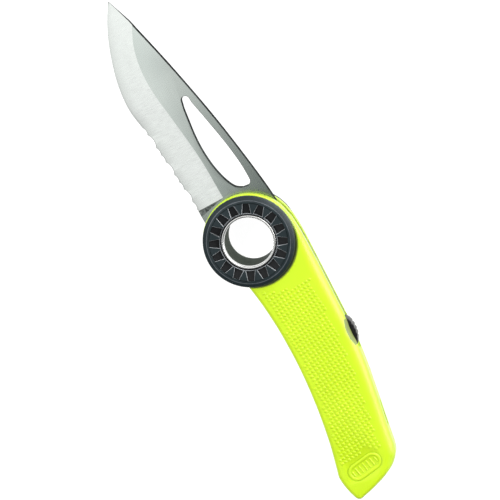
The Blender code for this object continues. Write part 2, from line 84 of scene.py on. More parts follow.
CHANNEL_HALF = 1.35 * MM
SEAM_HALF = 0.05 * MM
WASHER_POCKET_TOP = 1.65 * MM
HEAD_RADIUS = 14.95 * MM
EYE_RADIUS = 10.4 * MM
TANG_RADIUS = 11.6 * MM
TANG_BORE_RADIUS = 8.7 * MM
HUB_RADIUS = 10.3 * MM
HUB_BORE_RADIUS = 8.5 * MM
LIP_SEAT_RADIUS = 9.0 * MM
EYE_CLEAR_RADIUS = 7.8 * MM
LIP_RADIUS = 8.75 * MM
TUBE_RADIUS = 8.35 * MM
EYELET_RING_BORE = 8.42 * MM
WHEEL_BASE = 5.0 * MM
FOLD_ANGLE = math.radians(171)
SCOOP_X = -41.0 * MM
SCOOP_RADIUS = 28.0 * MM
SCOOP_FLOOR = -14.35 * MM
SCOOP_SLOPE = 0.75
PAD_HALF = 2.3 * MM
LEVER_PIN = Vector((-24.0, -13.2)) * MM
LEVER_PIN_RADIUS = 1.2 * MM
SPRING_PIN = Vector((-70.2, -10.8)) * MM
SPRING_PIN_RADIUS = 1.0 * MM
PIN_DEPTH = 3.3 * MM
SCREWS = [Vector(place) * MM for place in ((-55.0, -13.1), (-77.6, -7.4), (-84.6, -1.4))]
SCREW_RADIUS = 1.0 * MM
SCREW_HEAD_RADIUS = 1.9 * MM
TEETH = 16
# A shadow painted in dark olive round the wheels' feet, widest on one side.
WHEEL_SHADOW = (0.022, 0.034, 0.004)
WHEEL_SHADOW_SIDE = (-0.943, -0.333, 0)  # where it is widest, seen from the pivot
WHEEL_SHADOW_WIDTH = 0.85 * MM
WHEEL_SHADOW_SOFTNESS = 0.32 * MM
POCKET_INNER = 9.3 * MM
POCKET_OUTER = 12.5 * MM


# ---------------------------------------------------------------- points


def mm(*points):
    """These points, given in millimetres, as vectors in metres."""
    return [Vector(point) * MM for point in points]


def arc(centre, radius, start, end, steps):
    """Points on an arc from angle start to angle end in degrees, both ends included."""
    angles = (math.radians(start + (end - start) * i / steps) for i in range(steps + 1))
    return [Vector(centre) + radius * Vector((math.cos(a), math.sin(a))) for a in angles]


def smooth(points, per_span=16):
    """A Catmull-Rom curve through the points, its ends included."""
    padded = [2 * points[0] - points[1], *points, 2 * points[-1] - points[-2]]
    curve = []
    for before, start, end, after in zip(padded, padded[1:], padded[2:], padded[3:]):
        for i in range(per_span):
            t = i / per_span
            curve.append(
                0.5
                * (
                    2 * start
                    + (end - before) * t
                    + (2 * before - 5 * start + 4 * end - after) * t**2
                    + (3 * start - before - 3 * end + after) * t**3
                )
            )
    return [*curve, points[-1].copy()]


def turned_by(points, angle):
    """The points turned about the pivot."""
    turn = Matrix.Rotation(angle, 2)
    return [turn @ point for point in points]


def along(curve, x):
    """The point where a curve that always runs one way in x passes x."""
    for a, b in zip(curve, curve[1:]):
        if min(a.x, b.x) <= x <= max(a.x, b.x):
            return a.lerp(b, (x - a.x) / (b.x - a.x))
    raise ValueError("the curve doesn't reach that x")


def ease(low, high, value):
    """0 below low, 1 above high and smooth between them."""
    t = min(max((value - low) / (high - low), 0), 1)
    return t * t * (3 - 2 * t)


# ---------------------------------------------------------------- meshes


def add_mesh(name, solid):
    """An object with this bmesh as its mesh."""
    bmesh.ops.recalc_face_normals(solid, faces=solid.faces)
    mesh = bpy.data.meshes.new(name)
    solid.to_mesh(mesh)
    solid.free()
    obj = bpy.data.objects.new(name, mesh)
    bpy.context.scene.collection.objects.link(obj)
    return obj


def bake(obj):
    """Applies obj's modifiers."""
    bpy.context.view_layer.update()
    mesh = bpy.data.meshes.new_from_object(obj.evaluated_get(bpy.context.evaluated_depsgraph_get()))
    obj.modifiers.clear()
    obj.data = mesh
    return obj


def skin(solid, rings):
    """Faces between each ring of vertices and the next."""
    for one, other in zip(rings, rings[1:]):
        for i in range(len(one)):
            j = (i + 1) % len(one)
            solid.faces.new([one[i], one[j], other[j], other[i]])


def loops_to_solid(name, loops):
    """A closed solid from a stack of loops with equal point counts, capped at both ends."""
    solid = bmesh.new()
    rings = [[solid.verts.new(point) for point in loop] for loop in loops]
    skin(solid, rings)
    solid.faces.new(rings[0])
    solid.faces.new(rings[-1])
    return add_mesh(name, solid)


def prism(name, outline, low, high):
    """A flat piece with this outline, from height low to height high."""
    return loops_to_solid(name, [[(*p, z) for p in outline] for z in (low, high)])


def rounded_prism(name, outline, low, high, radii, steps=7):
    """A flat piece whose rim at height high is rounded, by radii's (width, depth) at each point."""
    count = len(outline)
    inward = []
    for i, point in enumerate(outline):
        ahead = outline[(i + 1) % count] - outline[i - 1]
        inward.append(Vector((-ahead.y, ahead.x)).normalized())
    area = sum(a.cross(b) for a, b in zip(outline, outline[1:] + outline[:1]))
    if area < 0:
        inward = [-side for side in inward]
    loops = [[(*p, low) for p in outline]]
    for step in range(steps + 1):
        angle = math.pi / 2 * step / steps
        loop = []
        for point, side, (width, depth) in zip(outline, inward, radii):
            place = point + side * width * (1 - math.cos(angle))
            loop.append((*place, high - depth * (1 - math.sin(angle))))
        loops.append(loop)
    return loops_to_solid(name, loops)


def turned(name, profile, steps=160):
    """A turned piece.  The profile's points are (radius, height), in order round its section."""
    solid = bmesh.new()
    rings = []
    for i in range(steps):
        angle = 2 * math.pi * i / steps
        turn = (math.cos(angle), math.sin(angle))
        rings.append([solid.verts.new((r * turn[0], r * turn[1], z)) for r, z in profile])
    for one, other in zip(rings, rings[1:] + rings[:1]):
        for i in range(len(profile)):
            j = (i + 1) % len(profile)
            solid.faces.new([one[i], other[i], other[j], one[j]])
    return add_mesh(name, solid)


def cylinder(name, place, radius, low, high, sides=64):
    """A round bar that stands on z."""
    return prism(name, arc(place, radius, 0, 360 - 360 / sides, sides - 1), low, high)


def cone(name, place, low_radius, high_radius, low, high, sides=360):
    """A cut-off cone."""
    loops = []
    for radius, z in ((low_radius, low), (high_radius, high)):
        loops.append([(*p, z) for p in arc(place, radius, 0, 360 - 360 / sides, sides - 1)])
    return loops_to_solid(name, loops)


def cut(obj, *cutters, operation="DIFFERENCE"):
    """Takes the cutters' shapes out of obj, or joins them to it."""
    for cutter in cutters:
        boolean = obj.modifiers.new(cutter.name, "BOOLEAN")
        boolean.operation = operation
        boolean.solver = "EXACT"
        boolean.object = cutter
    bake(obj)
    for cutter in cutters:
        bpy.data.objects.remove(cutter)
    return obj


def soften(obj, width, angle=40, segments=2):
    """Breaks obj's sharp edges, as a mould or a stone does."""
    bevel = obj.modifiers.new("soften", "BEVEL")
    bevel.width = width
    bevel.segments = segments
    bevel.limit_method = "ANGLE"
    bevel.angle_limit = math.radians(angle)
    bevel.use_clamp_overlap = True
    return bake(obj)


def mirrored(obj, name):
    """Puts obj's mirror image, on the rear of the knife, in its place."""
    solid = bmesh.new()
    solid.from_mesh(obj.data)
    for vertex in solid.verts:
        vertex.co.z = -vertex.co.z
    rear = add_mesh(name, solid)
    bpy.data.objects.remove(obj)
    return rear


def show(obj, body, slot, material, *nodes, sharp=35):
    """Puts a finished piece in its place, gives it its materials and hides the CAD parts that it replaces."""
    obj.data.transform(Matrix.Translation(PIVOT))
    obj.data.shade_smooth()
    obj.data.set_sharp_from_angle(angle=math.radians(sharp))
    indices = [face.material_index for face in obj.data.polygons]
    obj.data.materials.clear()
    for item in material if isinstance(material, tuple) else (material,):
        obj.data.materials.append(item)
    for face, index in zip(obj.data.polygons, indices):
        face.material_index = index
    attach(obj, body)
    if nodes:
        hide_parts(*nodes)


# ---------------------------------------------------------------- materials


class Look:
    """A material's node tree, with a short way to add and link nodes."""

    def __init__(self, name, **constants):
        self.material = bpy.data.materials.new(name)
        self.material.use_nodes = True
        self.tree = self.material.node_tree
        self.shader = self.tree.nodes["Principled BSDF"]
        for socket, value in constants.items():
            self.shader.inputs[socket.replace("_", " ")].default_value = value
        self.place = self.add("ShaderNodeTexCoord").outputs["Object"]

    def add(self, kind, links=(), **settings):
        """A new node, with each input linked to an output or set to a value."""
        node = self.tree.nodes.new(kind)
        for name, value in settings.items():
            setattr(node, name, value)
        for socket, source in dict(links).items():
            if isinstance(source, bpy.types.NodeSocket):
                self.tree.links.new(source, node.inputs[socket])
            else:
                node.inputs[socket].default_value = source
        return node

    def stretched(self, scale):
        """The object's coordinates, stretched."""
        mapping = self.add("ShaderNodeMapping", {"Vector": self.place, "Scale": scale})
        return mapping.outputs["Vector"]

    def noise(self, scale, detail=3, vector=None):
        """Noise from 0 to 1; the higher the scale, the finer."""
        links = {"Vector": vector or self.place, "Scale": scale, "Detail": detail}
        return self.add("ShaderNodeTexNoise", links).outputs["Fac"]

    def vector(self, operation, one, other=(0, 0, 0)):
        """A step of vector arithmetic."""
        return self.add("ShaderNodeVectorMath", {0: one, 1: other}, operation=operation)

    def ramp(self, factor, low, high, start, end):
        """Maps factor from low..high to start..end, which are numbers."""
        links = {"Value": factor, "From Min": low, "From Max": high, "To Min": start, "To Max": end}
        return self.add("ShaderNodeMapRange", links).outputs["Result"]

    def mix(self, factor, one, other):
        """Mixes two colours."""
        node = self.add("ShaderNodeMix", data_type="RGBA")
        for socket, source in ((node.inputs[0], factor), (node.inputs[6], one), (node.inputs[7], other)):
            if isinstance(source, bpy.types.NodeSocket):
                self.tree.links.new(source, socket)
            else:
                socket.default_value = source
        return node.outputs[2]

    def into(self, socket, source):
        """Links an output to the shader."""
        self.tree.links.new(source, self.shader.inputs[socket])

    def bump(self, height, distance, strength=0.5):
        """The normal of a surface with this height, distance metres deep."""
        links = {"Height": height, "Distance": distance, "Strength": strength}
        return self.add("ShaderNodeBump", links).outputs["Normal"]


def rgb(red, green, blue):
    """An opaque colour."""
    return (red, green, blue, 1)


def lime_nylon(name, dark, light):
    """Lime nylon with a fine eroded skin, and a painted shadow round the wheels' feet."""
    look = Look(name, IOR=1.5, Coat_Weight=0.5, Coat_Roughness=0.38)
    cloud = look.noise(90, 2)
    colour = look.mix(look.ramp(cloud, 0.3, 0.7, 0, 1), rgb(*dark), rgb(*light))
    out = look.vector("SUBTRACT", look.place, PIVOT)
    out = look.vector("MULTIPLY", out.outputs[0], (1, 1, 0))
    away = look.vector("LENGTH", out.outputs[0]).outputs["Value"]
    side = look.vector("DOT_PRODUCT", out.outputs[0], WHEEL_SHADOW_SIDE).outputs["Value"]
    reach = look.ramp(side, 0, WHEEL_RADIUS, -WHEEL_SHADOW_SOFTNESS, WHEEL_SHADOW_WIDTH)
    start = look.add("ShaderNodeMath", {0: away, 1: reach}, operation="SUBTRACT").outputs[0]
    # Painted shadow: dark olive round the wheel's foot, widest on one side, fading outwards.
    wheel_shadow = look.ramp(start, WHEEL_RADIUS - WHEEL_SHADOW_SOFTNESS, WHEEL_RADIUS + WHEEL_SHADOW_SOFTNESS, 1, 0)
    colour = look.mix(wheel_shadow, colour, rgb(*WHEEL_SHADOW))
    grain = look.noise(5200, 2)
    rub = look.noise(700, 4)
    look.into("Base Color", colour)
    look.into("Roughness", look.ramp(rub, 0.25, 0.75, 0.34, 0.46))
    look.into("Normal", look.bump(grain, 0.00003, 0.55))
    return look.material


def dark_nylon(name, dark, light, rough):
    """Slate-grey nylon, a little glossier where hands rub it."""
    look = Look(name, IOR=1.45)
    cloud = look.noise(160, 3)
    look.into("Base Color", look.mix(look.ramp(cloud, 0.3, 0.7, 0, 1), rgb(*dark), rgb(*light)))
    look.into("Roughness", look.ramp(look.noise(900, 4), 0.25, 0.75, rough - 0.07, rough + 0.08))
    look.into("Normal", look.bump(look.noise(4200, 2), 0.00003))
    return look.material


def black_nylon():
    """Matt black nylon for the button."""
    look = Look("black_nylon", IOR=1.38)
    cloud = look.noise(300, 3)
    look.into("Base Color", look.mix(cloud, rgb(0.002, 0.002, 0.002), rgb(0.006, 0.006, 0.006)))
    look.into("Roughness", look.ramp(look.noise(1100, 4), 0.25, 0.75, 0.26, 0.4))
    look.into("Normal", look.bump(look.noise(4200, 2), 0.00003))
    return look.material


def steel(name, dark, light, rough, lines, depth, rim=1.0, tang_shade=1.0):
    """Steel with lines ground into it along one direction, which is a stretch of the coordinates.

    rim is how bright it is seen at a glancing angle, and tang_shade how much painted shade darkens it towards
    the pivot.
    """
    look = Look(name, Metallic=1.0, IOR=2.5, Specular_Tint=rgb(rim, rim, rim))
    scratch = look.noise(1.0, 4, look.stretched(lines))
    cloud = look.noise(60, 3)
    shade = look.add("ShaderNodeMath", {0: scratch, 1: look.ramp(cloud, 0.3, 0.7, -0.2, 0.2)})
    colour = look.mix(look.ramp(shade.outputs[0], 0.3, 0.7, 0, 1), rgb(*dark), rgb(*light))
    if tang_shade < 1:
        # Painted shade: darker towards the pivot, standing in for the dark wheels that the flat mirrors
        # there.
        slant = look.vector("DOT_PRODUCT", look.place, (1, 0.8, 0))
        painted_tang_shade = [channel * tang_shade for channel in (dark[0] * 0.96, dark[1] * 1.03, dark[2])]
        colour = look.mix(look.ramp(slant.outputs["Value"], 0.003, 0.06, 0, 1), rgb(*painted_tang_shade), colour)
    look.into("Base Color", colour)
    look.into("Roughness", look.ramp(scratch, 0.3, 0.7, rough - 0.05, rough + 0.07))
    look.into("Normal", look.bump(scratch, depth))
    return look.material


def acetal():
    """White slippery plastic for the washers."""
    look = Look("white_acetal", IOR=1.48)
    look.into("Base Color", look.mix(look.noise(200, 3), rgb(0.72, 0.72, 0.7), rgb(0.8, 0.8, 0.78)))
    look.into("Roughness", look.ramp(look.noise(900, 3), 0.3, 0.7, 0.4, 0.52))
    look.into("Normal", look.bump(look.noise(3000, 2), 0.00002, 0.4))
    return look.material


LIME = lime_nylon("lime_nylon", (0.42, 0.6, 0.004), (0.45, 0.635, 0.008))
# The scoops' walls: a darker copy of the lime, as painted shade.
SCOOP_SHADE_LIME = lime_nylon("scoop_shade_nylon", (0.15, 0.19, 0.03), (0.2, 0.25, 0.045))
SLATE = dark_nylon("dark_nylon", (0.005, 0.011, 0.013), (0.01, 0.018, 0.021), 0.4)
# Painted shade in the wheels' recesses: a near-black copy of the slate.
POCKET_SHADE = dark_nylon("pocket_shade_nylon", (0.001, 0.0015, 0.002), (0.003, 0.004, 0.005), 0.5)
# A painted highlight: a lighter ring at the inner edge of the wheels' chamfer, also glossier.
RIM_HIGHLIGHT = dark_nylon("rim_highlight_nylon", (0.05, 0.058, 0.066), (0.09, 0.1, 0.11), 0.24)
# Painted highlights: lighter walls round each recess between the teeth.
TOOTH_EDGE_HIGHLIGHT = dark_nylon("tooth_edge_highlight_nylon", (0.07, 0.075, 0.08), (0.4, 0.42, 0.44), 0.3)
BLACK = black_nylon()
FLAT_STEEL = steel(
    "satin_flat", (0.7, 0.77, 0.73), (0.8, 0.87, 0.82), 0.26, (120, 6000, 6000), 0.000003, tang_shade=0.42
)
GROUND_STEEL = steel(
    "ground_bevel", (0.93, 0.98, 0.94), (0.96, 1.0, 0.97), 0.24, (3500, 120, 3500), 0.0000004
)
# Painted shade: the scallops' faces get a dark copy of the steel.
SHADED_SCALLOP_STEEL = steel(
    "shaded_scallop", (0.03, 0.035, 0.033), (0.3, 0.33, 0.31), 0.3, (900, 900, 200), 0.000004, rim=0.4
)
# Painted shade: the upright walls of the slot, the bore and the edge get a near-black copy of the steel.
SHADED_CUT_STEEL = steel(
    "shaded_cut_edge", (0.004, 0.005, 0.005), (0.12, 0.135, 0.13), 0.5, (1500, 1500, 100), 0.000008, rim=0.25
)
# Painted shade: the blade's back gets a near-black copy of the steel.
SHADED_SPINE_STEEL = steel(
    "shaded_spine", (0.006, 0.007, 0.007), (0.07, 0.078, 0.075), 0.45, (1500, 1500, 200), 0.000004, rim=0.3
)
SPRING_STEEL = steel("spring_steel", (0.3, 0.31, 0.3), (0.44, 0.45, 0.43), 0.34, (200, 5000, 5000), 0.000004)
# Painted shade: the inside of the eyelet's tube gets a dark copy of its steel.
SHADED_EYELET_WALL = steel(
    "shaded_eyelet_wall", (0.08, 0.097, 0.08), (0.15, 0.172, 0.145), 0.5, (3000, 3000, 400), 0.000002, rim=0.4
)
EYELET_STEEL = steel(
    "polished_steel", (0.88, 0.89, 0.87), (0.96, 0.97, 0.95), 0.22, (3000, 3000, 400), 0.000002
)
ACETAL = acetal()


# ---------------------------------------------------------------- the handle


def handle_outline():
    """The handle seen from the front: the round head, the spine, the pointed butt and the finger side."""
    heel = smooth(mm((-79.6, -12.0), (-82.4, -11.2), (-84.8, -9.3), (-86.3, -7.2), (-88.0, -4.0)), 8)
    butt = smooth(mm((-88.0, -4.0), (-89.7, 0.2), (-91.0, 4.1)), 8)
    chin = arc(mm((-89.4, 5.1))[0], 1.9 * MM, -175, -240, 14)
    lip = smooth(mm((-88.2, 7.55), (-85.2, 8.35), (-82.0, 8.7), (-79.4, 8.2)), 8)
    head = arc((0, 0), HEAD_RADIUS, 151, -78, 120)
    return spine_line() + heel[1:] + butt[1:-1] + chin[1:] + lip + finger_side()[1:-1] + head


def finger_side():
    """The handle's concave side, from the butt to the head."""
    return smooth(
        mm((-79.4, 8.2), (-70.2, 6.4), (-58, 4.9), (-45, 4.2), (-32, 4.5), (-21.4, 5.6), (-13.0, 7.1))
    )


def spine_line():
    """The handle's back, from the head to where it turns in to the butt."""
    shoulder = mm((1.2, -15.2), (-5, -15.8), (-14, -16.1), (-26, -16.25), (-38, -16.3))
    return smooth(shoulder + mm((-50, -15.7), (-62, -14.3), (-74, -12.7), (-79.6, -12.0)))


def rim_rounding(point):
    """The width and depth of the rounding at a point of the handle's rim: broad along the spine."""
    spine = ease(5 * MM, 11 * MM, -point.y) * ease(1 * MM, 16 * MM, -point.x)
    return (1.4 + 2.4 * spine) * MM, (1.2 + 1.3 * spine) * MM


def channel_outline():
    """What is open between the shells: the blade's channel, the lever's slot and the spring's pocket."""
    floor = mm((-88, 20), (-88, 7.6), (-87.0, 5.6), (-83, 2.7), (-78, -0.6), (-72, -3.9), (-67.5, -6.1))
    wedge = mm((-63, -7.8), (-60, -8.55), (-68, -8.55))
    eye = arc(SPRING_PIN, 2.25 * MM, 92, 212, 20) + arc(SPRING_PIN, 2.25 * MM, 240, 328, 14)
    slot = mm((-66.5, -11.5), (-46.6, -11.4), (-46.6, -20), (20, -20), (20, 20))
    return floor + wedge + eye + slot


def shell_mesh(name, rear):
    """One half of the handle, drawn as the front one."""
    outline = handle_outline()
    radii = [rim_rounding(point) for point in outline]
    shell = rounded_prism(name, outline, SEAM_HALF, SHELL_TOP, radii)
    below = -1 * MM
    above = SHELL_TOP + 1 * MM
    scoop = (SCOOP_X, SCOOP_FLOOR - SCOOP_RADIUS)
    low_radius, high_radius = (SCOOP_RADIUS + SCOOP_SLOPE * (height - SHELL_TOP) for height in (below, above))
    pad_pocket = mm((-34.5, -20), (-34.9, -15.5), (-35.5, -14.9))
    pad_pocket += mm((-45.0, -14.9), (-45.9, -15.4), (-46.2, -20))
    window = mm((-73.4, -16), (-64.8, -16), (-64.8, -11.2), (-73.4, -11.2))
    cutters = [
        prism("channel", channel_outline(), below, CHANNEL_HALF),
        cylinder("eye", (0, 0), EYE_RADIUS, below, above, 160),
        cylinder("washer_pocket", (0, 0), TANG_RADIUS + 0.1 * MM, below, WASHER_POCKET_TOP, 160),
        cone("scoop", scoop, low_radius, high_radius, below, above),
        prism("pad_pocket", pad_pocket, below, PAD_HALF + 0.35 * MM),
        prism("window", window, below, 0.8 * MM),
        cylinder("lever_pin_hole", LEVER_PIN, LEVER_PIN_RADIUS + 0.1 * MM, below, PIN_DEPTH),
        cylinder("spring_pin_hole", SPRING_PIN, SPRING_PIN_RADIUS + 0.1 * MM, below, PIN_DEPTH),
        butt_pad_cutter(),
    ]
    for i, place in enumerate(SCREWS):
        depth = above if rear else 3.2 * MM
        cutters.append(cylinder(f"screw_{i}", place, SCREW_RADIUS + 0.1 * MM, below, depth, 48))
        if rear:
            seat = 3.3 * MM
            cutters.append(cylinder(f"head_{i}", place, SCREW_HEAD_RADIUS + 0.15 * MM, seat, above, 64))
    shell = soften(cut(shell, *cutters), 0.16 * MM, 42, 2)
    return mirrored(shell, name) if rear else shell


PAD_CENTRE = Vector((-81.9, -0.6)) * MM
PAD_ANGLE = math.radians(102.5)
PAD_LENGTH = 12.6 * MM
PAD_WIDTH = 6.4 * MM
GRID_PITCH = 1.33 * MM
GRID_TURN = math.radians(8)


def capsule(length, width, steps=18):
    """A slot shape with round ends, lying along the butt."""
    reach = (length - width) / 2
    ends = arc((reach, 0), width / 2, -90, 90, steps) + arc((-reach, 0), width / 2, 90, 270, steps)
    turn = Matrix.Rotation(PAD_ANGLE, 2)
    return [PAD_CENTRE + turn @ point for point in ends]


def butt_pad_cutter():
    """The shallow moulded recess at the butt."""
    return prism("pad_recess", capsule(PAD_LENGTH, PAD_WIDTH), SHELL_TOP - 0.25 * MM, SHELL_TOP + 1 * MM)


def from_pad(place):
    """How far a point is outside the butt's recess."""
    along_pad = Matrix.Rotation(-PAD_ANGLE, 2) @ (place - PAD_CENTRE)
    past_end = max(abs(along_pad.x) - (PAD_LENGTH - PAD_WIDTH) / 2, 0)
    return math.hypot(past_end, along_pad.y) - PAD_WIDTH / 2


def grid_places():
    """Where the handle's raised dots stand: a square grid laid a little askew on the flat of its side."""
    turn = Matrix.Rotation(GRID_TURN, 2)
    finger = mm((-90.5, 5.6), (-87, 7.6)) + finger_side()
    spine = spine_line() + mm((-84, -9))
    places = []
    for i in range(-75, 5):
        for j in range(-20, 26):
            place = turn @ Vector((i * GRID_PITCH, j * GRID_PITCH)) + Vector((0, -5 * MM))
            if not -83 * MM < place.x < -14 * MM:
                continue
            from_finger = along(finger, place.x).y - place.y
            from_spine = place.y - along(spine, place.x).y
            if from_finger < 1.9 * MM or from_spine < 4.3 * MM:
                continue
            if place.length < 16.4 * MM + 0.3 * from_finger or from_pad(place) < 1.3 * MM:
                continue
            if (Matrix.Rotation(-PAD_ANGLE, 2) @ (place - PAD_CENTRE)).y < 0:
                places.append(place)
    return places


def grid_mesh(name):
    """The raised dots as low rounded squares, their feet sunk in the shell."""
    solid = bmesh.new()
    sides = 12
    for place in grid_places():
        rings = []
        for reach, height in ((0.47, -0.03), (0.45, 0.06), (0.37, 0.13), (0.24, 0.165)):
            ring = []
            for k in range(sides):
                angle = 2 * math.pi * (k + 0.5) / sides
                squareness = (abs(math.cos(angle)) ** 4 + abs(math.sin(angle)) ** 4) ** -0.25
                way = Vector((math.cos(angle + GRID_TURN), math.sin(angle + GRID_TURN)))
                spot = place + reach * MM * squareness * way
                ring.append(solid.verts.new((*spot, SHELL_TOP + height * MM)))
            rings.append(ring)
        skin(solid, rings)
        solid.faces.new(rings[0][::-1])
        solid.faces.new(rings[-1])
    return add_mesh(name, solid)


def pad_ribs(name):
    """A plain raised rim and a row of short ribs in the butt's recess."""
    base, crest = SHELL_TOP - 0.6 * MM, SHELL_TOP + 0.02 * MM
    solid = bmesh.new()
    edge = crest - 0.14 * MM
    sections = ((0.28, base), (0.28, edge), (0.42, crest), (1.15, crest), (1.32, edge), (1.32, base))
    loops = []
    for inset, height in sections:
        loop = capsule(PAD_LENGTH - 2 * inset * MM, PAD_WIDTH - 2 * inset * MM)
        loops.append([solid.verts.new((*point, height)) for point in loop])
    skin(solid, loops + loops[:1])
    turn = Matrix.Rotation(PAD_ANGLE, 2)
    for k in range(-3, 4):
        reach = 1.2 * MM if abs(k) < 3 else 0.75 * MM
        across = 0.26 * MM
        rib = arc((0, reach), across, 0, 180, 8) + arc((0, -reach), across, 180, 360, 8)
        rings = []
        shoulder, brow, top = (crest - drop * MM for drop in (0.16, 0.05, 0.02))
        for shrink, height in ((1, base), (1, shoulder), (0.72, brow), (0.35, top)):
            ring = []
            for point in rib:
                slim = Vector((point.x * shrink, point.y - math.copysign(across * (1 - shrink), point.y)))
                spot = PAD_CENTRE + turn @ (slim + Vector((k * 1.45 * MM, 0)))
                ring.append(solid.verts.new((*spot, height)))
            rings.append(ring)
        skin(solid, rings)
        solid.faces.new(rings[0][::-1])
        solid.faces.new(rings[-1])
    return add_mesh(name, solid)


def make_handle():
    """Both shells, their raised dots and the ribs of their butt pads."""
    for side, rear in (("front", False), ("rear", True)):
        shell = shell_mesh(f"{side}_shell_body", rear)
        show(shell, "handle_body", "lime_nylon", (LIME, SCOOP_SHADE_LIME), f"{side}_shell")
        # Painted shade: the scoop's walls take the darker copy of the lime.
        for face in shell.data.polygons:
            place = face.center - PIVOT
            reach = SCOOP_RADIUS + SCOOP_SLOPE * (abs(place.z) - SHELL_TOP)
            out = (place.xy - Vector((SCOOP_X, SCOOP_FLOOR - SCOOP_RADIUS))).length
            in_scoop = abs(out - reach) < 0.03 * MM and abs(face.normal.y) > 0.4
            face.material_index = 1 if in_scoop else 0
        for name, mesh in ((f"{side}_grid", grid_mesh), (f"{side}_pad_ribs", pad_ribs)):
            piece = mesh(name)
            if rear:
                piece = mirrored(piece, name)
            show(piece, "handle_body", "lime_nylon", LIME, sharp=60)


# ---------------------------------------------------------------- the wheels and the eyelet


def pocket_half(radius):
    """Half the width of the recess between two teeth at this radius."""
    share = (radius - POCKET_INNER) / (POCKET_OUTER - POCKET_INNER)
    return (1.35 - 0.45 * share) * MM


def wheel_mesh(name):
    """A ribbed wheel, drawn as the front one: its face is a polar grid that follows the recesses' walls."""
    lip = 0.1 * MM
    deep, shallow = 1.0 * MM, 0.5 * MM
    inner, outer = POCKET_INNER, POCKET_OUTER
    face = [9.15 * MM, inner - lip, inner, inner + lip, inner + 2.5 * lip]
    face += [inner + (outer - inner) * t for t in (0.3, 0.45, 0.6, 0.75, 0.88)]
    face += [outer - lip, outer, outer + lip]
    columns = [(0, 1), (0.4, 1), (0.75, 1), (0.93, 1), (1, 0.86), (1.04, 0.16)]
    columns += [(1.16, 0), (1.3, 0), (None, 0)]

    def depth(radius, share):
        """How far the face is sunk at this radius, share of the way into a recess."""
        if radius < inner - lip / 2 or radius > outer + lip / 2:
            return 0
        end = min(ease(inner - lip, inner + lip, radius), ease(-outer - lip, -outer + lip, -radius))
        slope = (radius - inner) / (outer - inner)
        return (deep + (shallow - deep) * slope) * share * end

    rest = [
        (WHEEL_RADIUS - 2.2 * MM, WHEEL_TOP),
        (WHEEL_RADIUS - 1.45 * MM, WHEEL_TOP - 0.02 * MM),
        (WHEEL_RADIUS - 1.22 * MM, WHEEL_TOP - 0.1 * MM),
        (WHEEL_RADIUS - 0.8 * MM, WHEEL_TOP - 0.32 * MM),
        (WHEEL_RADIUS - 0.35 * MM, WHEEL_TOP - 0.54 * MM),
        (WHEEL_RADIUS - 0.14 * MM, WHEEL_TOP - 0.66 * MM),
        (WHEEL_RADIUS - 0.03 * MM, WHEEL_TOP - 0.8 * MM),
        (WHEEL_RADIUS, WHEEL_TOP - 1.0 * MM),
        (WHEEL_RADIUS, WHEEL_BASE + 0.25 * MM),
        (WHEEL_RADIUS - 0.08 * MM, WHEEL_BASE + 0.07 * MM),
        (WHEEL_RADIUS - 0.25 * MM, WHEEL_BASE),
        (HUB_RADIUS, WHEEL_BASE),
        (HUB_RADIUS, BLADE_HALF + 0.08 * MM),
        (HUB_BORE_RADIUS, BLADE_HALF + 0.08 * MM),
        (HUB_BORE_RADIUS, WHEEL_TOP - 1.0 * MM),
        (LIP_SEAT_RADIUS, WHEEL_TOP - 1.0 * MM),
        (LIP_SEAT_RADIUS, WHEEL_TOP - 0.1 * MM),
        (LIP_SEAT_RADIUS + 0.1 * MM, WHEEL_TOP),
    ]
    # Painted shade in the recesses, painted highlights on their walls and on a ring at the chamfer.
    pocket, rim_highlight, tooth_edge_highlight = 1, 2, 3
    sector = 2 * math.pi / TEETH
    solid = bmesh.new()
    spokes = []
    for tooth in range(TEETH):
        half = columns + [column for column in columns[-2:0:-1]]
        for i, (share, sunk) in enumerate(half):
            mirror = i >= len(columns)
            spoke = []
            for radius in face:
                if share is None:
                    angle = sector / 2
                else:
                    angle = math.asin(share * pocket_half(radius) / radius)
                if mirror:
                    angle = sector - angle
                angle += tooth * sector
                height = WHEEL_TOP - depth(radius, sunk)
                spoke.append(solid.verts.new((radius * math.cos(angle), radius * math.sin(angle), height)))
            steady = sector * i / len(half) + tooth * sector
            last = angle
            for k, (radius, height) in enumerate(rest):
                angle = last if k < 2 or k > len(rest) - 2 else last + (steady - last) * min(k / 4, 1)
                spoke.append(solid.verts.new((radius * math.cos(angle), radius * math.sin(angle), height)))
            spokes.append(spoke)
    for one, other in zip(spokes, spokes[1:] + spokes[:1]):
        for i in range(len(one)):
            j = (i + 1) % len(one)
            corners = [one[i], other[i], other[j], one[j]]
            quad = solid.faces.new(corners)
            radius = sum(corner.co.xy.length for corner in corners) / 4
            drops = [WHEEL_TOP - corner.co.z for corner in corners]
            if radius < outer + lip and max(drops) > 0.05 * MM:
                quad.material_index = tooth_edge_highlight if min(drops) < 0.01 * MM else pocket
            elif i == len(face) + 1:
                quad.material_index = rim_highlight
    return add_mesh(name, solid)


def drive_tabs(name):
    """The four tabs on a wheel's hub that turn the blade."""
    tabs = []
    for i in range(4):
        outline = mm((8.9, -1.7), (9.95, -1.7), (9.95, 1.7), (8.9, 1.7))
        outline = turned_by(outline, math.radians(45 + 90 * i))
        tabs.append(prism(f"tab_{i}", outline, SEAM_HALF, BLADE_HALF + 0.5 * MM))
    first = tabs.pop(0)
    first.name = name
    return soften(cut(first, *tabs, operation="UNION"), 0.1 * MM)


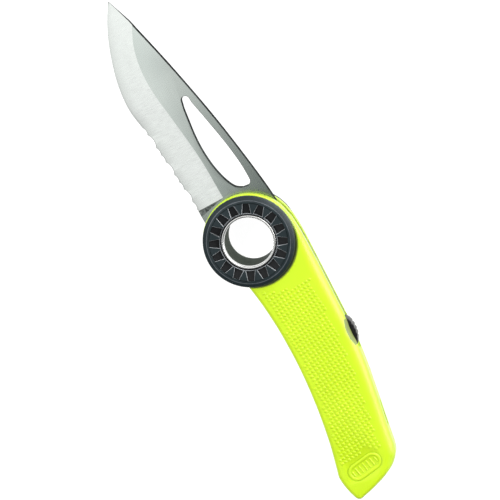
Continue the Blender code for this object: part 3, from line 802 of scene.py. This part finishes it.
def eyelet_mesh():
    """The open tube, its lips rolled over at both ends."""
    base = WHEEL_TOP - 0.95 * MM
    crown = arc((EYE_CLEAR_RADIUS + 0.5 * MM, LIP_TOP - 0.42 * MM), 0.42 * MM, 168, 20, 14)
    wall = (EYE_CLEAR_RADIUS, base - 0.6 * MM)
    rim = [(LIP_RADIUS, LIP_TOP - 0.42 * MM), (LIP_RADIUS, base), (TUBE_RADIUS, base)]
    upper = [wall, *[(p.x, p.y) for p in crown], *rim]
    return turned("eyelet_tube", upper + [(r, -z) for r, z in upper[::-1]], 192)


def ring_mesh(name, inner, outer, low, high, edge):
    """A flat ring with broken edges."""
    section = [
        (inner + edge, high),
        (outer - edge, high),
        (outer, high - edge),
        (outer, low + edge),
        (outer - edge, low),
        (inner + edge, low),
        (inner, low + edge),
        (inner, high - edge),
    ]
    return turned(name, section)


def make_pivot():
    """What turns round the pivot with the blade."""
    for side, rear in (("front", False), ("rear", True)):
        for name, mesh in ((f"{side}_wheel_body", wheel_mesh), (f"{side}_wheel_tabs", drive_tabs)):
            piece = mesh(name)
            if rear:
                piece = mirrored(piece, name)
            replaced = [f"{side}_wheel"] if mesh is wheel_mesh else []
            show(piece, "blade_body", "black_nylon", (SLATE, POCKET_SHADE, RIM_HIGHLIGHT, TOOTH_EDGE_HIGHLIGHT), *replaced, sharp=38)
    eyelet = eyelet_mesh()
    show(eyelet, "blade_body", "polished_steel", (EYELET_STEEL, SHADED_EYELET_WALL), "eyelet", sharp=50)
    # The tube's inside takes the dark copy of the steel: painted shade.
    for face in eyelet.data.polygons:
        inside = (face.center - PIVOT).xy.length < EYE_CLEAR_RADIUS + 0.02 * MM
        face.material_index = 1 if inside else 0
    for node in ("eyelet_ring", "front_washer", "rear_washer"):
        low, high = (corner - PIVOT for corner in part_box(node))
        steel_ring = node == "eyelet_ring"
        inner = EYELET_RING_BORE if steel_ring else EYE_RADIUS + 0.1 * MM
        slot, material = ("polished_steel", EYELET_STEEL) if steel_ring else ("white_acetal", ACETAL)
        piece = ring_mesh(f"{node}_body", inner, high.x, low.z, high.z, 0.06 * MM)
        show(piece, "blade_body", slot, material, node)


# ---------------------------------------------------------------- the blade

SCALLOPS = {"big": (4.9 * MM, 0.85 * MM), "small": (2.7 * MM, 0.45 * MM)}  # length and depth
SCALLOP_ROW = ("small", "big", "small", "small", "big", "small", "small", "big", "small")
SCALLOP_TILT = math.radians(28)
TOOTH_NOTCH = (-2.35 * MM, 2.2 * MM, -10.4 * MM)
STATIONS = 150


def resampled(curve, count):
    """The curve with this many even steps."""
    lengths = [0]
    for a, b in zip(curve, curve[1:]):
        lengths.append(lengths[-1] + (b - a).length)
    points, i = [], 0
    for step in range(count + 1):
        wanted = lengths[-1] * step / count
        while i < len(curve) - 2 and lengths[i + 1] < wanted:
            i += 1
        span = lengths[i + 1] - lengths[i]
        points.append(curve[i].lerp(curve[i + 1], (wanted - lengths[i]) / span))
    return points


def blade_spine():
    """The blade's back, from the shoulder at the lock to the tip."""
    back = mm((2.2, -12.9), (9.2, -12.6), (22, -10.5), (40, -6.8), (60, -1.7), (78.4, 3.7))
    return smooth(back) + [TIP]


def scallop_line():
    """The straight line that the scalloped edge's points stand on, from its front end to the heel."""
    return mm((46.3, 15.3), (14.9, 11.3))


def cutting_edge():
    """The edge without its scallops, from the tip to the heel."""
    belly = mm((80.2, 10.5), (73.5, 13.2), (65.3, 15.5), (58.5, 16.5), (52.5, 16.5), (46.3, 15.3))
    return smooth([TIP, *belly]) + [scallop_line()[1]]


def grind_line():
    """The upper edge of the ground faces, from the plunge to where it meets the spine."""
    return smooth(mm((15.5, 2.0), (30, 3.0), (45, 5.3), (54, 6.8), (62, 7.2), (70, 6.0), (76.5, 3.4)))


def tang():
    """The blade's outline round the pivot, from the lock's shoulder to the heel of the edge."""
    lower = math.degrees(math.asin(TOOTH_NOTCH[1] / TANG_RADIUS))
    return arc((0, 0), TANG_RADIUS, -90 - lower, -288, 120) + mm((9.0, 10.75), (12.9, 11.0))


def blank_mesh():
    """The ground blank: the flats, the ground faces and a narrow sharpened edge."""
    spine, grind, edge = blade_spine(), grind_line(), cutting_edge()
    meeting = along(spine, grind[-1].x)
    front = [meeting] + [p for p in spine if p.x > meeting.x + 0.5 * MM]
    back = [p for p in spine if p.x < meeting.x - 0.5 * MM]
    share = round(STATIONS * 0.86)
    upper = resampled(grind[:-1] + [meeting], share) + resampled(front, STATIONS - share)[1:]
    lower = resampled(edge[::-1], STATIONS)
    reach = (lower[share] - upper[share]).length
    solid = bmesh.new()

    def pair(point, half):
        """A point's vertices on the front and the rear side."""
        return [solid.verts.new((*point, half)), solid.verts.new((*point, -half))]

    rows = []
    for i, (top, bottom) in enumerate(zip(upper[:-1], lower[:-1])):
        width = (bottom - top).length
        half = BLADE_HALF if i <= share else BLADE_HALF * (0.1 + 0.9 * width / reach)
        to_edge = max(1 - 0.75 * MM / width, 0.5)
        row = [pair(top, half)]
        for step in (0.33, 0.66, 1):
            thickness = half + (min(0.2 * MM, half * 0.6) - half) * step
            row.append(pair(top.lerp(bottom, to_edge * step), thickness))
        rows.append([*row, [solid.verts.new((*bottom, 0))] * 2])
    tip = solid.verts.new((*TIP, 0))
    outline = [pair(p, BLADE_HALF) for p in tang()[::-1] + back]
    flat = [row[0] for row in rows[: share + 1]] + outline[::-1]
    for side in range(2):
        solid.faces.new([corner[side] for corner in flat])
        for one, other in zip(rows, rows[1:]):
            for i in range(4):
                solid.faces.new([one[i][side], other[i][side], other[i + 1][side], one[i + 1][side]])
        for i in range(4):
            solid.faces.new([rows[-1][i][side], tip, rows[-1][i + 1][side]])
        plunge = [corner[side] for corner in rows[0]]
        solid.faces.new([*plunge, outline[0][side]])
    rim = [row[0] for row in rows[share:]]
    for one, other in zip(rim, rim[1:]):
        solid.faces.new([one[0], other[0], other[1], one[1]])
    solid.faces.new([rim[-1][0], tip, rim[-1][1]])
    for one, other in zip(outline, outline[1:]):
        solid.faces.new([one[0], other[0], other[1], one[1]])
    solid.faces.new([outline[-1][0], rim[0][0], rim[0][1], outline[-1][1]])
    heel = rows[0][-1][0]
    solid.faces.new([heel, outline[0][0], outline[0][1]])
    return add_mesh("blade_body", solid)


def scallop_cutters():
    """Slanting round cutters, as the wheel that grinds the scallops from the front."""
    start, end = scallop_line()
    heading = (end - start).normalized()
    inward = Vector((heading.y, -heading.x))
    inward *= -1 if inward.y > 0 else 1
    lean = Vector((*(inward * math.sin(SCALLOP_TILT)), math.cos(SCALLOP_TILT)))
    cutters, reached = [], 0.0
    for kind in SCALLOP_ROW:
        length, depth = SCALLOPS[kind]
        sunk = depth * math.cos(SCALLOP_TILT)
        radius = (sunk**2 + (length / 2) ** 2) / (2 * sunk)
        middle = start + heading * (reached + length / 2)
        reached += length
        centre = Vector((*(middle + inward * (depth - radius / math.cos(SCALLOP_TILT))), 0))
        cutter = cylinder(f"scallop_{len(cutters)}", (0, 0), radius, -12 * MM, 12 * MM, 256)
        cutter.data.transform(Matrix.Translation(centre) @ lean.to_track_quat("Z", "X").to_matrix().to_4x4())
        cutters.append(cutter)
    return cutters


def thumb_slot():
    """The long opening in the blade's flat."""
    front = arc(mm((48.4, -1.2))[0], 1.3 * MM, 75, -75, 18)
    back = smooth(mm((47.6, -2.5), (38.8, -4.7), (30.6, -6.6), (23, -7.9), (17.6, -8.3)), 10)
    heel = arc(mm((17.4, -6.6))[0], 1.7 * MM, -100, -170, 12)
    near = smooth(mm((15.7, -5.4), (17.4, -2.8), (21.7, -0.7), (28, 0.8), (36, 1.3), (47.4, 0.45)), 10)
    return front + back[1:-1] + heel + near[1:-1]


def break_edges(obj, height, width, segments=2):
    """Breaks the rims of obj's flat faces at height and at -height."""
    solid = bmesh.new()
    solid.from_mesh(obj.data)
    rims = []
    for edge in solid.edges:
        level = all(abs(abs(vertex.co.z) - height) < 0.005 * MM for vertex in edge.verts)
        slopes = sorted(abs(face.normal.z) for face in edge.link_faces)
        if level and len(slopes) == 2 and slopes[0] < 0.3 and slopes[1] > 0.97:
            rims.append(edge)
    bmesh.ops.bevel(
        solid, geom=rims, offset=width, segments=segments, profile=0.5, affect="EDGES", clamp_overlap=False
    )
    solid.to_mesh(obj.data)
    solid.free()
    return obj


def make_blade():
    """The blade, with a material for each way that its steel is finished, and dark copies of the steel as
    painted shade on its back, walls and scallops.
    """
    reach = 3 * MM
    left, right, floor = TOOTH_NOTCH
    seat = [Vector(p) for p in ((left, floor), (left, -15 * MM), (right, -15 * MM), (right, floor))]
    drive = mm((-10.1, -1.9), (10.1, -1.9), (10.1, 1.9), (-10.1, 1.9))
    blade = cut(
        blank_mesh(),
        prism("thumb_slot", thumb_slot(), -reach, reach),
        cylinder("tang_bore", (0, 0), TANG_BORE_RADIUS, -reach, reach, 160),
        prism("drive_1", turned_by(drive, math.radians(45)), -reach, reach),
        prism("drive_2", turned_by(drive, math.radians(135)), -reach, reach),
        prism("open_notch", seat, -reach, reach),
        prism("closed_notch", turned_by(seat, -FOLD_ANGLE), -reach, reach),
    )
    break_edges(blade, BLADE_HALF, 0.13 * MM)
    cut(blade, *scallop_cutters())
    show(
        blade,
        "blade_body",
        "blade_steel",
        (FLAT_STEEL, GROUND_STEEL, SHADED_SCALLOP_STEEL, SHADED_CUT_STEEL, SHADED_SPINE_STEEL),
        "blade",
        sharp=14,
    )
    # Painted shade: the spine, the upright walls and the scallops take the dark copies of the steel.
    flat, ground, scallop, shaded_cut_edge, spine = range(5)
    back = blade_spine()
    for face in blade.data.polygons:
        upright = abs(face.normal.z)
        place = (face.center - PIVOT).xy
        at_back = back[0].x < place.x < TIP.x and place.y < along(back, place.x).y + 0.05 * MM
        if upright < 0.3:
            face.material_index = spine if at_back else shaded_cut_edge
        elif upright < 0.93:
            face.material_index = scallop if place.y > 8 * MM else shaded_cut_edge
        else:
            face.material_index = flat if upright > 0.9995 else ground


# ---------------------------------------------------------------- the lock and the small parts


def ribbon(line, width):
    """The outline of a strip of this width along a line of points."""
    left, right = [], []
    for i, point in enumerate(line):
        ahead = line[min(i + 1, len(line) - 1)] - line[max(i - 1, 0)]
        side = Vector((-ahead.y, ahead.x)).normalized() * width / 2
        left.append(point + side)
        right.append(point - side)
    return left + right[::-1]


def make_lock():
    """The rocking lever and the button that is clipped into its rear end."""
    back = smooth(mm((1.8, -14.6), (-1.5, -15.1), (-6.5, -15.65), (-16, -15.95), (-34.8, -16.1)))
    seat = mm((-35.2, -14.2), (-37.3, -14.2), (-36.8, -12.9), (-41.2, -12.9), (-40.7, -14.2))
    end = mm((-44.6, -14.2), (-45.4, -13.4), (-45.4, -11.3), (-44.6, -10.5))
    underside = smooth(mm((-18, -10.5), (-13.5, -10.75), (-9, -11.7), (-5.5, -12.7), (-2.2, -12.9)))
    tooth = mm((-1.9, -11.9), (1.7, -11.9))
    lever = prism("lock_lever_body", back + seat + end + underside + tooth, -BLADE_HALF, BLADE_HALF)
    cut(lever, cylinder("pin_hole", LEVER_PIN, LEVER_PIN_RADIUS + 0.1 * MM, -3 * MM, 3 * MM))
    break_edges(lever, BLADE_HALF, 0.15 * MM)
    show(lever, "lock_body", "spring_steel", SPRING_STEEL, "lock_lever")

    top = smooth(mm((-35.5, -16.0), (-37.0, -17.0), (-39.4, -17.4), (-42.3, -17.15), (-44.9, -16.0)))
    ridged = []
    for point in top:
        middle = ease(-44.0 * MM, -43.0 * MM, point.x) * ease(36.6 * MM, 37.4 * MM, -point.x)
        groove = 0.22 * MM * middle * (0.5 - 0.5 * math.cos(2 * math.pi * point.x / (1.5 * MM))) ** 2
        ridged.append(point + Vector((0, groove)))
    pad = prism("release_button_body", ridged + mm((-44.9, -15.7), (-35.5, -15.7)), -PAD_HALF, PAD_HALF)
    break_edges(pad, PAD_HALF, 0.3 * MM, 4)
    stem = mm((-35.6, -15.9), (-44.2, -15.9), (-44.2, -14.3), (-40.55, -14.3), (-41.0, -13.0))
    stem += mm((-37.0, -13.0), (-37.45, -14.3), (-35.6, -14.3))
    button = cut(pad, prism("button_stem", stem, -BLADE_HALF, BLADE_HALF), operation="UNION")
    show(button, "lock_body", "black_nylon", BLACK, "release_button")


def make_spring():
    """The leaf spring, wrapped round its pin and bearing on the lever's rear end."""
    leaf = smooth(mm((-41.0, -10.1), (-49, -9.75), (-58, -9.45), (-66, -9.4)), 12)
    curl = arc(SPRING_PIN, 1.4 * MM, 90, 345, 48)
    half = 1.1 * MM
    spring = prism("lock_spring_body", ribbon(leaf + curl, 0.55 * MM), -half, half)
    break_edges(spring, half, 0.08 * MM)
    show(spring, "handle_body", "spring_steel", SPRING_STEEL, "lock_spring")
    spring.parent = None
    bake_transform(spring)


def make_screws():
    """The three screws in the rear shell, with star-shaped sockets."""
    head_top, head_base, tip = -4.5 * MM, -3.35 * MM, 2.9 * MM
    for i, place in enumerate(SCREWS):
        crown = arc((SCREW_HEAD_RADIUS - 0.35 * MM, head_top + 0.35 * MM), 0.35 * MM, -90, 0, 6)
        section = [(0.02 * MM, head_top), *[(p.x, p.y) for p in crown], (SCREW_HEAD_RADIUS, head_base)]
        section += [(SCREW_RADIUS, head_base), (SCREW_RADIUS, tip - 0.6 * MM)]
        section += [(SCREW_RADIUS * 0.5, tip), (0.02 * MM, tip)]
        screw = turned(f"shell_screw_{i + 1}_body", section, 72)
        star = []
        for k in range(72):
            angle = 2 * math.pi * k / 72
            radius = (0.82 + 0.13 * math.cos(6 * angle)) * MM
            star.append(Vector((radius * math.cos(angle), radius * math.sin(angle))))
        cut(screw, prism("socket", star, head_top - 1 * MM, head_top + 0.85 * MM))
        screw.data.transform(Matrix.Translation((*place, 0)))
        show(screw, "handle_body", "spring_steel", SPRING_STEEL, f"shell_screw_{i + 1}", sharp=40)


def dress_pins():
    """The pins keep their CAD shapes."""
    for node in ("lever_pin", "spring_pin"):
        slots = frame["nodes"][node].data.materials
        slots.clear()
        slots.append(SPRING_STEEL)


# ---------------------------------------------------------------- the studio

SOFTBOX_PLACE, SOFTBOX_SIZE = (0.1, -0.85, 0.42), (1.4, 0.6)
SHEEN_PLACE, SHEEN_SIZE = (0.1, -0.82, 0.406), (1.35, 0.58)  # just in front of the fill light
KEY_PLACE, KEY_SIZE = (0.44, 0.2, 0.82), (0.14, 0.14)
FILL_WATTS, SHEEN_WATTS, KEY_WATTS = 11.5, 11.0, 8.0
CAMERA_DISTANCE = 0.65
CAMERA_LENS = 147.6
CAMERA_SHIFT = (-0.0020, -0.0242)


def make_floor():
    """A pale floor that glows enough to stay white."""
    look = Look("pale_floor", Roughness=0.7)
    look.into("Base Color", look.mix(look.noise(3, 2), rgb(0.15, 0.15, 0.15), rgb(0.18, 0.18, 0.18)))
    look.shader.inputs["Emission Color"].default_value = rgb(1, 1, 1)
    look.shader.inputs["Emission Strength"].default_value = 0.96
    bpy.ops.mesh.primitive_plane_add(size=6, location=(0, 0, 0))
    floor = bpy.context.object
    floor.name = "floor"
    floor.data.materials.append(look.material)


def add_light(name, place, power, size, aim=(0, 0, 0.007)):
    """A soft rectangular light that points at the knife."""
    light = bpy.data.lights.new(name, "AREA")
    light.energy = power
    light.shape = "RECTANGLE"
    light.size, light.size_y = size
    lamp = bpy.data.objects.new(name, light)
    bpy.context.scene.collection.objects.link(lamp)
    lamp.location = place
    lamp.rotation_euler = (Vector(aim) - Vector(place)).to_track_quat("-Z", "Y").to_euler()
    return lamp


def make_studio():
    """White surroundings with dimmer patches, two soft lights by the spine and one above the tip."""
    world = bpy.data.worlds.new("studio")
    world.use_nodes = True
    nodes, links = world.node_tree.nodes, world.node_tree.links
    way = nodes.new("ShaderNodeTexCoord").outputs["Generated"]

    def fade(direction, low, high, start, end):
        """Light that changes smoothly towards a direction."""
        dot = nodes.new("ShaderNodeVectorMath")
        dot.operation = "DOT_PRODUCT"
        dot.inputs[1].default_value = Vector(direction).normalized()
        links.new(way, dot.inputs[0])
        change = nodes.new("ShaderNodeMapRange")
        change.interpolation_type = "SMOOTHSTEP"
        for name, value in {"From Min": low, "From Max": high, "To Min": start, "To Max": end}.items():
            change.inputs[name].default_value = value
        links.new(dot.outputs["Value"], change.inputs["Value"])
        return change.outputs["Result"]

    def times(one, other):
        """The product of two outputs."""
        product = nodes.new("ShaderNodeMath")
        product.operation = "MULTIPLY"
        links.new(one, product.inputs[0])
        links.new(other, product.inputs[1])
        return product.outputs[0]

    overhead = fade((-0.45, -0.2, 0.87), 0.8, 0.895, 1.0, 0.2)
    finger_side = fade((-0.45, 0.9, -0.1), 0.2, 0.85, 1.0, 0.12)
    butt_side = fade((-1, -0.1, 0.1), 0.3, 0.85, 1.0, 0.3)
    horizon = fade((0, 0, 1), 0.35, 0.72, 0.65, 1.0)
    sides = times(finger_side, butt_side)
    links.new(times(times(overhead, horizon), sides), nodes["Background"].inputs["Strength"])
    nodes["Background"].inputs["Color"].default_value = rgb(1, 1, 1)
    bpy.context.scene.world = world
    fill = add_light("spine_side_fill", SOFTBOX_PLACE, FILL_WATTS, SOFTBOX_SIZE)
    fill.visible_glossy = False
    sheen = add_light("spine_side_sheen", SHEEN_PLACE, SHEEN_WATTS, SHEEN_SIZE)
    sheen.visible_diffuse = False
    # Everything but the blade, whose flats would mirror it as plain white.
    lit = bpy.data.collections.new("lit_by_sheen")
    for obj in bpy.context.scene.objects:
        if obj.type == "MESH" and FLAT_STEEL.name not in obj.data.materials:
            lit.objects.link(obj)
    sheen.light_linking.receiver_collection = lit
    key = add_light("tip_side_key", KEY_PLACE, KEY_WATTS, KEY_SIZE)
    key.visible_glossy = False
    scene = bpy.context.scene
    scene.view_settings.view_transform = "Standard"
    scene.view_settings.look = "None"


def make_camera():
    """Looks down on the pivot, the handle running down to the right."""
    right = Vector((-0.4448, -0.8885, -0.1128))
    back = Vector((0.1296, -0.1885, 0.9735)).normalized()
    right = (right - back * right.dot(back)).normalized()
    up = back.cross(right)
    camera = bpy.data.cameras.new("camera")
    camera.sensor_width = 36
    camera.lens = CAMERA_LENS
    camera.shift_x, camera.shift_y = CAMERA_SHIFT
    camera.clip_start = 0.01
    obj = bpy.data.objects.new("camera", camera)
    bpy.context.scene.collection.objects.link(obj)
    place = PIVOT + back * CAMERA_DISTANCE
    turn = Matrix((right, up, back)).transposed()
    obj.matrix_world = Matrix.Translation(place) @ turn.to_4x4()
    bpy.context.scene.camera = obj


make_camera()
make_handle()
make_pivot()
make_blade()
make_lock()
make_spring()
make_screws()
dress_pins()
make_floor()
make_studio()
